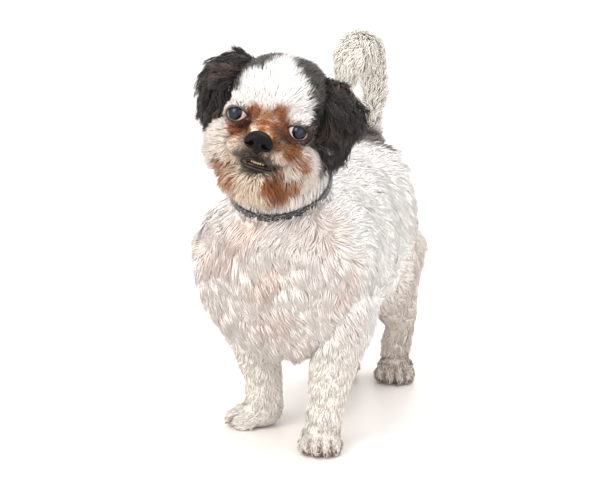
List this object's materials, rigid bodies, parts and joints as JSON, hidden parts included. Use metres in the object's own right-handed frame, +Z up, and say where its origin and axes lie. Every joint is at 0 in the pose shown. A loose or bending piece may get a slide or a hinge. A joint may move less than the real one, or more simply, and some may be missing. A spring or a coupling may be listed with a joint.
{
  "type": "standing shih tzu dog, still life-size model",
  "caption": "Life-size still model of a small short-clipped dog standing on four paws, head tilted, tail curled over its back.",
  "frame": {"origin": "floor level under the centre of the whole dog's box", "axes": "+Z up, the dog faces -Y, its left side is +X"},
  "size_m": [0.196, 0.3774, 0.4161],
  "materials": {
    "coat_white": "soft white hair, clipped short on the body, stained tan round the eyes and mouth",
    "coat_dark": "brown-black hair on the ears",
    "eye": "wet dark eye",
    "nose_leather": "moist black pebbled skin",
    "tooth": "ivory enamel",
    "collar_webbing": "woven webbing, black with grey flecks"
  },
  "bodies": {
    "root": {"collar": "collar_webbing", "ear_left": "coat_dark", "ear_right": "coat_dark", "eye_left": "eye", "eye_right": "eye", "head": "coat_white", "jaw": "coat_white", "leg_front_left": "coat_white", "leg_front_right": "coat_white", "lower_teeth": "tooth", "neck": "coat_white", "nose": "nose_leather", "paw_front_left": "coat_white", "paw_front_right": "coat_white", "paw_hind_left": "coat_white", "paw_hind_right": "coat_white", "shank_hind_left": "coat_white", "shank_hind_right": "coat_white", "tail_base": "coat_white", "tail_tip": "coat_white", "thigh_hind_left": "coat_white", "thigh_hind_right": "coat_white", "torso": "coat_white"}
  },
  "joints": []
}
